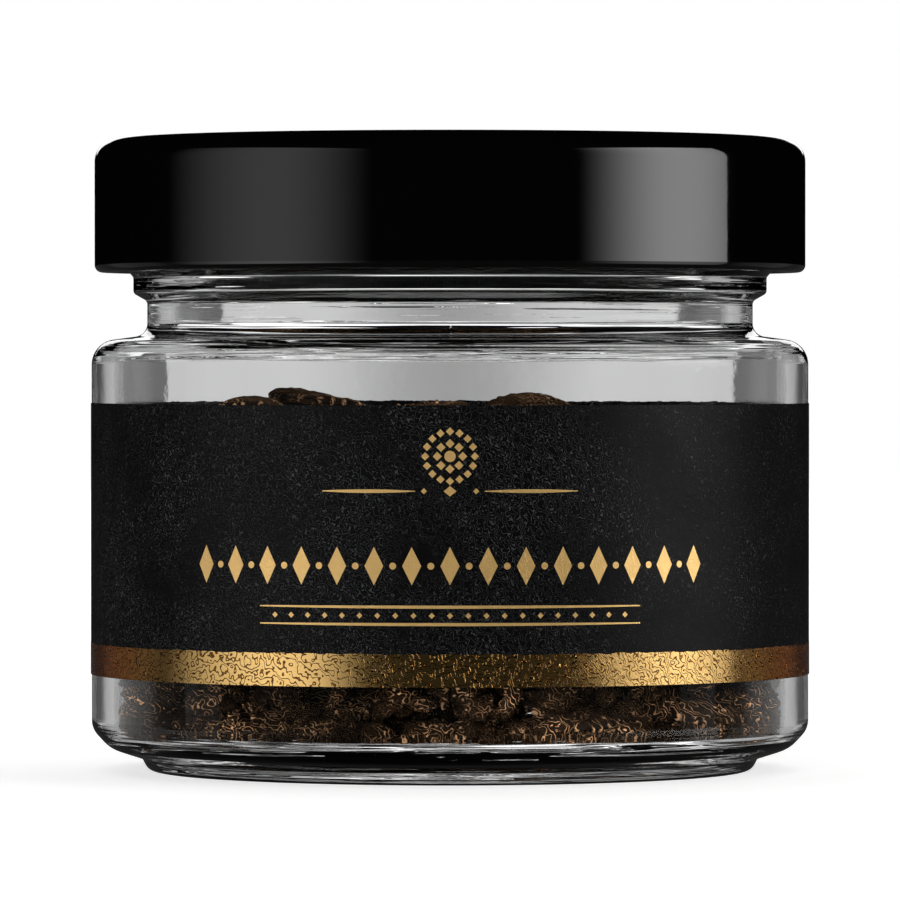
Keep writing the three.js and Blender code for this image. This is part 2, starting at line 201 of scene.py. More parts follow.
def finished(name, bm, material):
    """An object of the finished bmesh in one material."""
    mesh = bpy.data.meshes.new(name)
    bm.to_mesh(mesh)
    bm.free()
    mesh.materials.append(material)
    return new_object(name, mesh)


def new_piece(name, bm, body, material, replaced=()):
    """An object of the finished bmesh that rides on a body and takes the place of CAD nodes."""
    piece = finished(name, bm, material)
    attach(piece, body)
    if replaced:
        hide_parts(*replaced)
    return piece


def passed_by_low_lights():
    """The collection of what the low lights at the sides leave out, so that they don't veil the slices."""
    name = "passed by low lights"
    return bpy.data.collections.get(name) or bpy.data.collections.new(name)


def smoothstep(low, high, value):
    """0 at low, 1 at high and smooth in between. High may be the smaller of the two."""
    share = min(1, max(0, (value - low) / (high - low)))
    return share * share * (3 - 2 * share)


# ---------------------------------------------------------------- node groups

# The colour sockets of a Mix node.
MIX_FACTOR, MIX_FIRST, MIX_SECOND, MIX_RESULT = 0, 6, 7, 2

WAVE_DETAIL = 1.0
WAVE_DETAIL_SCALE = 1.6
GRAIN_RANGE = (0.3, 0.7)  # the part of the noise that is spread out


def new_node(tree, kind, inputs=(), **settings):
    """A node with its settings, and its inputs given as (name or index, value or socket)."""
    node = tree.nodes.new(kind)
    for name, value in settings.items():
        setattr(node, name, value)
    for name, value in inputs:
        if isinstance(value, bpy.types.NodeSocket):
            tree.links.new(value, node.inputs[name])
        else:
            node.inputs[name].default_value = value
    return node


def math_node(tree, operation, *values):
    """The outcome of one operation on values or sockets."""
    return new_node(tree, "ShaderNodeMath", enumerate(values), operation=operation).outputs["Value"]


def ramp(tree, factor, low, high):
    """0 up to low, 1 from high on and smooth in between. High may be the smaller of the two."""
    inputs = [("Value", factor), ("From Min", low), ("From Max", high)]
    return new_node(tree, "ShaderNodeMapRange", inputs, interpolation_type="SMOOTHSTEP").outputs["Result"]


def stepped(tree, factor, change):
    """The first level of a change up to its first edge, and the second one from its second edge on."""
    edges, (before, after) = change
    return math_node(tree, "MULTIPLY_ADD", ramp(tree, factor, *edges), after - before, before)


def blend(tree, factor, first, second):
    """Mixes two colours, each a socket or three numbers, by the factor socket."""
    inputs = [(MIX_FACTOR, factor)]
    for index, colour in ((MIX_FIRST, first), (MIX_SECOND, second)):
        linked = isinstance(colour, bpy.types.NodeSocket)
        inputs.append((index, colour if linked else (*colour, 1)))
    return new_node(tree, "ShaderNodeMix", inputs, data_type="RGBA").outputs[MIX_RESULT]


def choice(tree, factor, first, second):
    """The first shader where the factor is 0, and the second where it is 1."""
    return new_node(tree, "ShaderNodeMixShader", enumerate((factor, first, second))).outputs["Shader"]


def mix(tree, factor, first, second):
    """The first value where the factor is 0, and the second where it is 1."""
    inputs = {"Factor": factor, "A": first, "B": second}
    return new_node(tree, "ShaderNodeMix", inputs.items()).outputs["Result"]


def times(colour, factors):
    """A colour with each of its channels times its own factor."""
    return [channel * factor for channel, factor in zip(colour, factors)]


def new_group(name, defaults, outputs):
    """An empty shader node group that takes a vector and a value for each default, and puts out values."""
    group = bpy.data.node_groups.new(name, "ShaderNodeTree")
    group.interface.new_socket("Vector", in_out="INPUT", socket_type="NodeSocketVector")
    for socket_name, default in defaults.items():
        socket = group.interface.new_socket(socket_name, in_out="INPUT", socket_type="NodeSocketFloat")
        socket.default_value = default
    for socket_name in outputs:
        group.interface.new_socket(socket_name, in_out="OUTPUT", socket_type="NodeSocketFloat")
    return group, group.nodes.new("NodeGroupInput").outputs, group.nodes.new("NodeGroupOutput").inputs


def winding_lines_group():
    """Winding, branching lines, as in embossed paper, crumpled foil and the veins of a truffle."""
    group, given, made = new_group(
        "Winding Lines", {"Scale": 400.0, "Twist": 14.0, "Width": 0.3}, ["Lines", "Relief"]
    )
    waves = new_node(
        group,
        "ShaderNodeTexWave",
        [
            ("Vector", given["Vector"]),
            ("Scale", given["Scale"]),
            ("Distortion", given["Twist"]),
            ("Detail", WAVE_DETAIL),
            ("Detail Scale", WAVE_DETAIL_SCALE),
        ],
        bands_direction="DIAGONAL",
    )
    edge = math_node(group, "SUBTRACT", 1.0, given["Width"])
    lines = ramp(group, waves.outputs["Fac"], edge, 1.0)
    group.links.new(lines, made["Lines"])
    group.links.new(waves.outputs["Fac"], made["Relief"])
    return group


def fine_grain_group():
    """Uneven, fine-grained variation between two values, for roughness and wear."""
    group, given, made = new_group(
        "Fine Grain", {"Scale": 300.0, "Detail": 5.0, "Low": 0.0, "High": 1.0}, ["Value"]
    )
    field = new_node(
        group, "ShaderNodeTexNoise", [(name, given[name]) for name in ("Vector", "Scale", "Detail")]
    )
    spread = new_node(
        group,
        "ShaderNodeMapRange",
        [
            ("Value", field.outputs["Fac"]),
            ("From Min", GRAIN_RANGE[0]),
            ("From Max", GRAIN_RANGE[1]),
            ("To Min", given["Low"]),
            ("To Max", given["High"]),
        ],
    )
    group.links.new(spread.outputs["Result"], made["Value"])
    return group


def placed(tree, name, maker, inputs):
    """The node group of that name, made the first time it is needed, with its inputs set."""
    group = bpy.data.node_groups.get(name) or maker()
    return new_node(tree, "ShaderNodeGroup", inputs.items(), node_tree=group).outputs


def winding_lines(tree, vector, **values):
    """The outputs of the group of winding lines in a material."""
    return placed(tree, "Winding Lines", winding_lines_group, {"Vector": vector, **values})


def grain(tree, vector, **values):
    """The value of the group of fine grain in a material."""
    return placed(tree, "Fine Grain", fine_grain_group, {"Vector": vector, **values})["Value"]


# ---------------------------------------------------------------- materials

# Heights in millimetres between which a look of the glass or of the slices comes on or goes off.
THICK_FOOT = (6.5, 4.0)
SHOULDER_ZONE = (48.5, 51.0)
NECK_ZONE = (52.2, 52.8)
# Painted light: between these heights the slices are painted paler towards the top of the heap.
LIT_TOP_HEIGHTS = (41.0, 45.0)

# How much of the streaks shows in the upper glass, how much less in its neck, and how far they run.
UPPER_STREAKS = 0.55
NECK_LOSS = 0.6
STREAK_STRETCH = (1.0, 1.0, 45.0)

# Factors for the red, green and blue of a colour.
# Painted highlight: the raised lines of the paper are painted this much lighter.
RAISED_HIGHLIGHT = (30, 30, 30)
# Painted reflection: the foil turns this copper tint towards its grazing edges.
EDGE_REFLECTION_TINT = (1, 0.45, 0.2)
# Painted shade: the foil's creases are painted this much darker.
CREASE_SHADE = (0.3, 0.2, 0.14)
DEEP = (0.2, 0.2, 0.2)
PALE = (2.5, 2.5, 2.5)
# Painted light: the top of the heap of slices is painted this much paler.
LIT_TOP_FACTORS = (8, 8, 8)

# Where a mask comes on, as values of the field that it is made from.
# Painted reflection: between these facing values the foil's colour turns copper.
GRAZING = (0.3, 0.7)
VEINED_PATCHES = (0.35, 0.8)
# Painted highlight: where the ridges on the crests of the crimps are painted in the colour of the veins.
HIGHLIGHT_RIDGES = (0.4, 0.8)
HIGHLIGHT_CRESTS = (0.4, 0.9)

POLISH = -0.1
THREAD_SHARE = 0.12


def new_material(name, values):
    """A material with its tree, its Principled BSDF, whose same-all-over inputs are set, and the
    coordinates for its patterns: places in metres in the object's own axes, which are the frame's."""
    material = bpy.data.materials.new(name)
    material.use_nodes = True
    tree = material.node_tree
    shader = tree.nodes["Principled BSDF"]
    for key, value in values.items():
        shader.inputs[key].default_value = (*value, 1) if key == "Base Color" else value
    where = new_node(tree, "ShaderNodeTexCoord").outputs["Object"]
    return material, tree, shader, where


def zone(tree, where, heights):
    """0 up to the first height, 1 from the second one on and smooth in between, in millimetres."""
    height = new_node(tree, "ShaderNodeSeparateXYZ", [("Vector", where)]).outputs["Z"]
    low, high = heights
    return ramp(tree, height, low * MM, high * MM)


def bump(tree, shader, height, depth, strength=1.0, under=None):
    """Relief of a depth in millimetres on the shader, over the relief under it."""
    inputs = [("Height", height), ("Distance", depth * MM), ("Strength", strength)]
    if under is not None:
        inputs.append(("Normal", under))
    node = new_node(tree, "ShaderNodeBump", inputs)
    tree.links.new(node.outputs["Normal"], shader.inputs["Normal"])
    return node.outputs["Normal"]


def clear_glass(tint):
    """Pressed glass, wavy where it was thick and flowed. Its shadow lets light through."""
    material, tree, shader, where = new_material(
        "Clear Pressed Glass",
        {
            "Base Color": tint,
            "Roughness": 0.0,
            "IOR": 1.5,
            "Specular Tint": (0.08, 0.08, 0.08, 1),
            "Transmission Weight": 1.0,
        },
    )
    neck = math_node(tree, "MULTIPLY", zone(tree, where, NECK_ZONE), NECK_LOSS)
    above = math_node(tree, "SUBTRACT", zone(tree, where, SHOULDER_ZONE), neck)
    upper = math_node(tree, "MULTIPLY", above, UPPER_STREAKS)
    thick = math_node(tree, "MAXIMUM", zone(tree, where, THICK_FOOT), upper)
    drawn_out = new_node(tree, "ShaderNodeMapping", [("Vector", where), ("Scale", STREAK_STRETCH)])
    flow = grain(tree, drawn_out.outputs["Vector"], Scale=18.0, Detail=2.0)
    streaks = math_node(tree, "MULTIPLY", flow, thick)
    waves = grain(tree, where, Scale=90.0)
    under = bump(tree, shader, waves, depth=0.01)
    bump(tree, shader, streaks, depth=0.22, under=under)
    clear = new_node(tree, "ShaderNodeBsdfTransparent", [("Color", (*tint, 1))]).outputs["BSDF"]
    shadow = new_node(tree, "ShaderNodeLightPath").outputs["Is Shadow Ray"]
    surface = tree.nodes["Material Output"].inputs["Surface"]
    tree.links.new(choice(tree, shadow, shader.outputs["BSDF"], clear), surface)
    return material


def black_lacquer(colour):
    """Gloss lacquer on sheet metal, with a slight orange peel."""
    material, tree, shader, where = new_material(
        "Black Gloss Lacquer",
        {"Base Color": colour, "IOR": 1.5, "Coat Weight": 0.25, "Coat Roughness": 0.03},
    )
    bump(tree, shader, grain(tree, where, Scale=450.0), depth=0.0015)
    tree.links.new(grain(tree, where, Scale=60.0, Low=0.04, High=0.07), shader.inputs["Roughness"])
    return material


def sealing_compound():
    """Pale, matt and slightly soft compound that was poured into the lid."""
    material, tree, shader, where = new_material(
        "Sealing Compound", {"Base Color": (0.62, 0.6, 0.56), "Roughness": 0.5, "Subsurface Weight": 0.05}
    )
    bump(tree, shader, grain(tree, where, Scale=700.0), depth=0.02)
    return material


def embossed_paper(colour):
    """Black paper with a fine winding embossing, satin high points and a painted highlight on its raised
    lines.
    """
    material, tree, shader, where = new_material("Embossed Black Paper", {"Specular IOR Level": 0.11})
    maze = winding_lines(tree, where, Scale=900.0, Twist=16.0, Width=0.18)
    patches = grain(tree, where, Scale=110.0)
    fibres = grain(tree, where, Scale=2500.0)
    raised = math_node(tree, "MULTIPLY", maze["Lines"], patches)
    under = bump(tree, shader, fibres, depth=0.004)
    bump(tree, shader, raised, depth=0.12, under=under)
    # Painted highlight: the raised lines are painted lighter.
    tree.links.new(blend(tree, raised, colour, times(colour, RAISED_HIGHLIGHT)), shader.inputs["Base Color"])
    satin = grain(tree, where, Scale=120.0, Low=0.34, High=0.46)
    polished = math_node(tree, "MULTIPLY_ADD", raised, POLISH, satin)
    tree.links.new(polished, shader.inputs["Roughness"])
    return material


def gold_foil(colour):
    """Hot-stamped metal foil, flat between the fine winding creases that the paper gives it, with painted
    shade in the creases and a painted copper reflection towards its grazing edges.
    """
    material, tree, shader, where = new_material("Gold Foil", {"Metallic": 1.0})
    creases = winding_lines(tree, where, Scale=620.0, Twist=15.0, Width=0.18)
    hairlines = winding_lines(tree, where, Scale=1300.0, Twist=9.0, Width=0.3)
    patches = grain(tree, where, Scale=260.0)
    fine = math_node(tree, "MULTIPLY", hairlines["Lines"], patches)
    swell = grain(tree, where, Scale=160.0)
    under = bump(tree, shader, swell, depth=0.012)
    under = bump(tree, shader, fine, depth=0.004, under=under)
    bump(tree, shader, creases["Lines"], depth=0.075, under=under)
    # Painted reflection: the colour turns copper towards grazing angles.
    facing = new_node(tree, "ShaderNodeLayerWeight").outputs["Facing"]
    metal = blend(tree, ramp(tree, facing, *GRAZING), colour, times(colour, EDGE_REFLECTION_TINT))
    # Painted shade: the creases are painted darker.
    creased = blend(tree, creases["Lines"], metal, times(colour, CREASE_SHADE))
    tree.links.new(creased, shader.inputs["Base Color"])
    rub = grain(tree, where, Scale=200.0, Low=0.12, High=0.2)
    tree.links.new(rub, shader.inputs["Roughness"])
    return material


def gold_ink(colour):
    """Raised print in a satin gold ink, part metal flake and part binder."""
    material, tree, shader, where = new_material(
        "Gold Ink", {"Base Color": colour, "Metallic": 0.65, "Roughness": 0.3}
    )
    creases = winding_lines(tree, where, Scale=900.0, Twist=12.0, Width=0.2)
    bump(tree, shader, creases["Lines"], depth=0.015)
    return material


def dried_truffle(settings):
    """Dark flesh marbled with pale, raised veins inside a dark, warty rind, with painted highlights on the
    crests of the crimps and painted light making it paler up the heap.
    """
    material, tree, shader, where = new_material("Dried Truffle", {"Specular IOR Level": 0.0})
    rim = new_node(tree, "ShaderNodeAttribute", attribute_name="rim").outputs["Fac"]
    crest = new_node(tree, "ShaderNodeAttribute", attribute_name="crest").outputs["Fac"]
    veins = winding_lines(tree, where, Scale=540.0, Twist=14.0, Width=0.11)
    threads = winding_lines(tree, where, Scale=900.0, Twist=14.0, Width=0.1)
    patches = grain(tree, where, Scale=190.0)
    tone = grain(tree, where, Scale=70.0, Low=0.08, High=1.8)
    deep, pale, lit_top_flesh = (times(settings.flesh, factors) for factors in (DEEP, PALE, LIT_TOP_FACTORS))
    flesh = blend(tree, patches, deep, pale)
    # Painted light: the flesh is painted paler towards the top of the heap.
    flesh = blend(tree, zone(tree, where, LIT_TOP_HEIGHTS), flesh, lit_top_flesh)
    strong = ramp(tree, patches, *VEINED_PATCHES)
    marbled = blend(tree, math_node(tree, "MULTIPLY", veins["Lines"], strong), flesh, settings.veins)
    hidden = math_node(tree, "SUBTRACT", 1.0, patches)
    thin = math_node(tree, "MULTIPLY", threads["Lines"], hidden)
    marbled = blend(tree, math_node(tree, "MULTIPLY", thin, THREAD_SHARE), marbled, settings.veins)
    warts = new_node(tree, "ShaderNodeTexVoronoi", [("Vector", where), ("Scale", 1300.0)])
    skin = blend(tree, rim, marbled, settings.rind)
    # Painted highlight: the ridges on the crests of the crimps are painted pale.
    broken = math_node(tree, "MULTIPLY", ramp(tree, veins["Relief"], *HIGHLIGHT_RIDGES), patches)
    crest_highlight = math_node(tree, "MULTIPLY", ramp(tree, crest, *HIGHLIGHT_CRESTS), broken)
    skin = blend(tree, crest_highlight, skin, settings.veins)
    shaded = new_node(tree, "ShaderNodeVectorMath", [(0, skin), ("Scale", tone)], operation="SCALE")
    tree.links.new(shaded.outputs["Vector"], shader.inputs["Base Color"])
    under = bump(tree, shader, threads["Relief"], depth=0.05)
    under = bump(tree, shader, veins["Lines"], depth=0.14, under=under)
    bump(tree, shader, warts.outputs["Distance"], depth=0.06, strength=0.6, under=under)
    dry = grain(tree, where, Scale=500.0, Low=0.45, High=0.75)
    tree.links.new(dry, shader.inputs["Roughness"])
    return material


# ---------------------------------------------------------------- glass jar

INNER_RADIUS = 40.3
NECK_RADIUS = 36.33
NECK_BORE = 33.5
FINISH_RADIUS = 38.6
MOUTH_RADIUS = 35.0
FLOOR_EDGE = 4.9
FLOOR_CROWN = 5.9
FLOOR_CORNER = 0.8

THREAD_RADIUS = 39.95
THREAD_LOW = 61.8
THREAD_HEIGHT = 1.6
THREAD_LEAD = 14.0
THREAD_START = math.radians(-7)
THREAD_ANGLE = math.radians(42)
THREAD_ROWS = 44
THREAD_ZONE = 5.0  # the finish's straight side is longer than this
THREAD_TAPER = 0.22  # share of a ramp's length over which each of its ends rises
THREAD_FLANK = (1.15, 0.35)  # shares of half its height between which it swells
ON_FINISH = 0.01  # a point that is this close to the finish's radius is on it


def jar_outline():
    """The jar's section from the middle of its foot, up the outside and down the inside."""
    body = JAR_HIGH.x / MM
    rim = JAR_HIGH.z / MM
    return rounded_outline(
        [
            (0, 1.3, 0),
            (31.5, 1.3, 1),
            (33.2, 0, 0.7),  # standing ring
            (36.2, 0, 1.3),
            (37.0, 1.5, 0.6),
            (40.9, 2.75, 4),
            (body, 5.05, 2.5),
            (body, 51.3, 3),  # shoulder
            (NECK_RADIUS, 52.2, 1.6),
            (NECK_RADIUS, 56.25, 0.7),
            (38.0, 57.2, 0.6),  # bead
            (38.0, 59.1, 0.5),
            (FINISH_RADIUS, 59.8, 0.3),
            (FINISH_RADIUS, rim, 1.2),
            (MOUTH_RADIUS, rim, 1.2),
            (MOUTH_RADIUS, 60, 6),
            (NECK_BORE, 57, 6),
            (NECK_BORE, 50.8, 1.2),
            (INNER_RADIUS, 50, 1.4),
            (INNER_RADIUS, FLOOR_EDGE, FLOOR_CORNER),
            (0, FLOOR_CROWN, 0),
        ]
    )


def thread_swell(count, radius, height, angle):
    """How far a ramp of the thread stands out of the finish at a point."""
    if abs(radius - FINISH_RADIUS) > ON_FINISH:
        return 0
    pitch = 2 * math.pi / count
    along = ((angle - THREAD_START) % pitch) / THREAD_ANGLE
    if along > 1:
        return 0
    rise = THREAD_LEAD * (THREAD_START + THREAD_ANGLE * along) / (2 * math.pi)
    off = abs(height - (THREAD_LOW + THREAD_HEIGHT / 2 + rise)) / (THREAD_HEIGHT / 2)
    taper = smoothstep(0, THREAD_TAPER, min(along, 1 - along))
    return (THREAD_RADIUS - FINISH_RADIUS) * taper * smoothstep(*THREAD_FLANK, off)


def finish_edges(bm):
    """The outline's long edges up the outside of the finish."""
    return [
        edge
        for edge in bm.edges
        if edge.calc_length() > THREAD_ZONE * MM
        and all(abs(vert.co.x - FINISH_RADIUS * MM) < SAME_PLACE for vert in edge.verts)
    ]


class JAR_OT_glass(bpy.types.Operator):
    """Make the pressed glass jar with its thread"""

    bl_idname = "truffle_jar.glass"
    bl_label = "Glass Jar"

    def execute(self, context):
        settings = context.scene.jar_glass
        bm = wire(jar_outline())
        bmesh.ops.subdivide_edges(bm, edges=finish_edges(bm), cuts=THREAD_ROWS)
        spin(bm)
        push_out(bm, partial(thread_swell, settings.thread_count))
        bmesh.ops.recalc_face_normals(bm, faces=bm.faces)
        shade(bm, sharp=ALL_SMOOTH)
        glass = clear_glass(settings.tint)
        piece = new_piece("pressed_glass_jar", bm, "jar", glass, ["glass_jar"])
        left_out = passed_by_low_lights()
        left_out.objects.link(piece)
        left_out.collection_objects[0].light_linking.link_state = "EXCLUDE"
        return {"FINISHED"}


# ---------------------------------------------------------------- lid and seal

CURL_RADIUS = 0.9
FOLD_RADIUS = 0.45
SHOULDER_RADIUS = 2.8
PANEL_RADIUS = 34.3
PANEL_SLOPE = 0.9
PANEL_DROP = 0.66
LUG_HALF_ANGLE = math.radians(6)
LUG_REACH = 1.85
LUG_HEIGHTS = (2.1, 1.3)  # above the lid's lower edge, between which a lug comes out
LUG_WIDTHS = (0.9, 0.1)  # outside the rolled edge's inner side, between which it does
LUG_SIDES = (1.1, 0.75)  # shares of its half angle, between which it does

SEAL_INNER = 35.5
SEAL_ROUNDING = 0.28


def lid_outline(sheet):
    """The lid's section from the middle of its top, down the outside, round the edge and back inside."""
    radius = LID_HIGH.x / MM
    top = LID_HIGH.z / MM
    bottom = LID_LOW.z / MM
    panel = top - PANEL_DROP
    skirt = radius - sheet
    curl_inner = radius - 2 * CURL_RADIUS
    curl_top = bottom + 2 * CURL_RADIUS
    return rounded_outline(
        [
            (0, panel, 0),
            (PANEL_RADIUS, panel, FOLD_RADIUS),
            (PANEL_RADIUS + PANEL_SLOPE, top, FOLD_RADIUS),
            (radius, top, SHOULDER_RADIUS),
            (radius, bottom, CURL_RADIUS - 0.02),
            (curl_inner, bottom, CURL_RADIUS - 0.05),
            (curl_inner, curl_top - 0.3, 0.5),
            (skirt, curl_top + 0.7, 0.4),  # end of the rolled edge
            (skirt, top - sheet, SHOULDER_RADIUS - sheet),
            (PANEL_RADIUS + PANEL_SLOPE + 0.1, top - sheet, FOLD_RADIUS),
            (PANEL_RADIUS + 0.1, panel - sheet, FOLD_RADIUS),
            (0, panel - sheet, 0),
        ]
    )


def lug_swell(count, radius, height, angle):
    """How far a point on the inner side of the rolled edge stands out. Inwards is negative."""
    pitch = 2 * math.pi / count
    off = abs((angle + pitch / 2) % pitch - pitch / 2)
    curl_inner = LID_HIGH.x / MM - 2 * CURL_RADIUS
    close = smoothstep(*LUG_HEIGHTS, height - LID_LOW.z / MM) * smoothstep(*LUG_WIDTHS, radius - curl_inner)
    return -LUG_REACH * close * smoothstep(*LUG_SIDES, off / LUG_HALF_ANGLE)


class JAR_OT_lid(bpy.types.Operator):
    """Make the twist-off lid with its lugs"""

    bl_idname = "truffle_jar.lid"
    bl_label = "Twist-off Lid"

    def execute(self, context):
        settings = context.scene.jar_lid
        bm = wire(lid_outline(settings.sheet / MM))
        spin(bm)
        push_out(bm, partial(lug_swell, settings.lug_count))
        shade(bm, sharp=ALL_SMOOTH)
        new_piece("twist_off_lid", bm, "lid", black_lacquer(settings.lacquer), ["lid"])
        return {"FINISHED"}


class JAR_OT_seal(bpy.types.Operator):
    """Make the ring of sealing compound"""

    bl_idname = "truffle_jar.seal"
    bl_label = "Sealing Ring"

    def execute(self, context):
        outer = SEAL_HIGH.x / MM
        low, high = SEAL_LOW.z / MM, SEAL_HIGH.z / MM
        corners = [(SEAL_INNER, low), (outer, low), (outer, high), (SEAL_INNER, high)]
        bm = wire(rounded_outline([(*corner, SEAL_ROUNDING) for corner in corners], closed=True))
        spin(bm)
        shade(bm, sharp=ALL_SMOOTH)
        compound = sealing_compound()
        new_piece("sealing_compound_ring", bm, "seal", compound, ["sealing_ring"])
        return {"FINISHED"}


# ---------------------------------------------------------------- label

LABEL_INNER = 43.03
PAPER_OUTER = 43.10
FOIL_INNER = PAPER_OUTER + 0.005
FOIL_OUTER = 43.125
LABEL_HALF_GAP = math.radians(0.04)
LABEL_STEPS = 240
FOIL_STEPS = 900
FOIL_EDGE_WANDER = 0.16
FOIL_EDGE_WAVE = 0.9


def label_sheet(bm, outer, inner, low, high, steps):
    """A thin sheet bent round the jar until its ends almost meet at the back, between two heights."""
    front = [bm.verts.new((outer * MM, 0, z * MM)) for z in (low, high)]
    behind = [bm.verts.new((inner * MM, 0, z * MM)) for z in (high, low)]
    loop = front + behind
    edges = [bm.edges.new(pair) for pair in zip(loop, loop[1:] + loop[:1])]
    turn = Matrix.Rotation(math.pi / 2 + LABEL_HALF_GAP, 3, "Z")
    bmesh.ops.rotate(bm, verts=loop, cent=(0, 0, 0), matrix=turn)
    bmesh.ops.contextual_create(bm, geom=edges)
    bmesh.ops.spin(
        bm,
        geom=bm.verts[:] + bm.edges[:] + bm.faces[:],
        cent=(0, 0, 0),
        axis=(0, 0, 1),
        angle=2 * math.pi - 2 * LABEL_HALF_GAP,
        steps=steps,
    )
    bmesh.ops.recalc_face_normals(bm, faces=bm.faces)


class JAR_OT_label(bpy.types.Operator):
    """Make the embossed paper label and its foil band"""

    bl_idname = "truffle_jar.label"
    bl_label = "Label"

    def execute(self, context):
        settings = context.scene.jar_label
        low, high = LABEL_LOW.z / MM, LABEL_HIGH.z / MM
        edge = low + settings.band_height / MM
        paper = bmesh.new()
        label_sheet(paper, PAPER_OUTER, LABEL_INNER, low, high, LABEL_STEPS)
        shade(paper)
        new_piece("paper_label", paper, "jar", embossed_paper(settings.paper), ["label"])
        band = bmesh.new()
        label_sheet(band, FOIL_OUTER, FOIL_INNER, low, edge, FOIL_STEPS)
        for vert in band.verts:
            if vert.co.z > (low + edge) / 2 * MM:
                vert.co.z += FOIL_EDGE_WANDER * MM * noise.noise(vert.co / (FOIL_EDGE_WAVE * MM))
        shade(band)
        new_piece("foil_band", band, "jar", gold_foil(settings.foil))
        return {"FINISHED"}


# ---------------------------------------------------------------- gold ornament

ORNAMENT_INNER = 43.104
ORNAMENT_THICKNESS = 0.02
UPRIGHT = Matrix.Rotation(math.pi / 2, 3, "X")
LOZENGE, SMALL_DOT, DOT = 4, 16, 24  # sides
RULE_STEPS = 24

# The layout in millimetres: heights above the jar's foot, and sizes as width and height.
ROSETTE_HEIGHT = 38.2
ROSETTE_RADIUS = 3.4
ROSETTE_DOT = 1.3
ROSETTE_RINGS = ((8, 0.43, 1.05), (16, 0.84, 0.95))  # count, share of the radius and size

DIVIDER_HEIGHT = 34.2
DIVIDER_MIDDLE = (1.5, 1.2)
DIVIDER_STUD = (3, 0.7)  # distance to the side and size
DIVIDER_RULE = (9.5, 11, 0.42, 0.8)  # distance to the side, length, thickness and taper

FRIEZE_HEIGHT = 25.6
FRIEZE_STEP = 4.4
FRIEZE_LOZENGE = (2.2, 4.4)
FRIEZE_DOT = 0.8
FRIEZE_COUNT = 7  # lozenges to each side of the middle one

BORDER_RULE_HEIGHTS = (20.9, 18.9)
BORDER_RULE = (46, 0.36, 0.6)  # length, thickness and taper
BORDER_HEIGHT = 19.9
BORDER_STEP = 2.1
BORDER_LOZENGE = 0.7
BORDER_COUNT = 10  # lozenges to each side of the middle one


def wrap_round_jar(bm):
    """Bends flat work, laid out as x along the label and z up, round the front of the jar."""
    for vert in bm.verts:
        angle = vert.co.x / (ORNAMENT_INNER * MM)
        radius = ORNAMENT_INNER * MM + vert.co.y
        vert.co.x = radius * math.sin(angle)
        vert.co.y = -radius * math.cos(angle)


def set_down(bm, verts, x, z):
    """Moves a flat shape to its place and gives it the thickness of the raised ink."""
    bmesh.ops.translate(bm, verts=verts, vec=(x * MM, 0, z * MM))
    faces = list({face for vert in verts for face in vert.link_faces})
    made = bmesh.ops.extrude_face_region(bm, geom=faces, use_keep_orig=True)
    raised = [item for item in made["geom"] if isinstance(item, bmesh.types.BMVert)]
    bmesh.ops.translate(bm, verts=raised, vec=(0, ORNAMENT_THICKNESS * MM, 0))


def ink_spot(bm, x, z, width, height, sides):
    """A lozenge of four sides, or a dot of many."""
    made = bmesh.ops.create_circle(bm, segments=sides, radius=0.5 * MM, cap_ends=True)["verts"]
    bmesh.ops.rotate(bm, verts=made, cent=(0, 0, 0), matrix=UPRIGHT)
    bmesh.ops.scale(bm, verts=made, vec=(width, 1, height))
    set_down(bm, made, x, z)


def ink_rule(bm, x, z, length, height, taper):
    """A rule along the label that thins towards both ends."""
    made = bmesh.ops.create_grid(bm, x_segments=RULE_STEPS, y_segments=1, size=0.5 * MM)["verts"]
    bmesh.ops.rotate(bm, verts=made, cent=(0, 0, 0), matrix=UPRIGHT)
    for vert in made:
        share = abs(vert.co.x) / (0.5 * MM)
        vert.co.z *= height * (1 - taper * share**2)
        vert.co.x *= length
    set_down(bm, made, x, z)


def rosette(bm):
    """Two rings of lozenges round a dot."""
    ink_spot(bm, 0, ROSETTE_HEIGHT, ROSETTE_DOT, ROSETTE_DOT, DOT)
    for count, share, size in ROSETTE_RINGS:
        for i in range(count):
            angle = 2 * math.pi * i / count
            x = ROSETTE_RADIUS * share * math.cos(angle)
            z = ROSETTE_HEIGHT + ROSETTE_RADIUS * share * math.sin(angle)
            ink_spot(bm, x, z, size, size, LOZENGE)


def divider(bm):
    """A lozenge between two tapering rules, each with a stud at its inner end."""
    out, *shape = DIVIDER_RULE
    stud, size = DIVIDER_STUD
    for side in (-1, 1):
        ink_rule(bm, side * out, DIVIDER_HEIGHT, *shape)
        ink_spot(bm, side * stud, DIVIDER_HEIGHT, size, size, LOZENGE)
    ink_spot(bm, 0, DIVIDER_HEIGHT, *DIVIDER_MIDDLE, LOZENGE)


def frieze(bm):
    """A row of tall lozenges with dots between them."""
    for i in range(-FRIEZE_COUNT, FRIEZE_COUNT + 1):
        ink_spot(bm, i * FRIEZE_STEP, FRIEZE_HEIGHT, *FRIEZE_LOZENGE, LOZENGE)
        if i < FRIEZE_COUNT:
            ink_spot(bm, (i + 0.5) * FRIEZE_STEP, FRIEZE_HEIGHT, FRIEZE_DOT, FRIEZE_DOT, SMALL_DOT)


def border(bm):
    """A row of small lozenges between two long rules."""
    for height in BORDER_RULE_HEIGHTS:
        ink_rule(bm, 0, height, *BORDER_RULE)
    for i in range(-BORDER_COUNT, BORDER_COUNT + 1):
        ink_spot(bm, i * BORDER_STEP, BORDER_HEIGHT, BORDER_LOZENGE, BORDER_LOZENGE, LOZENGE)


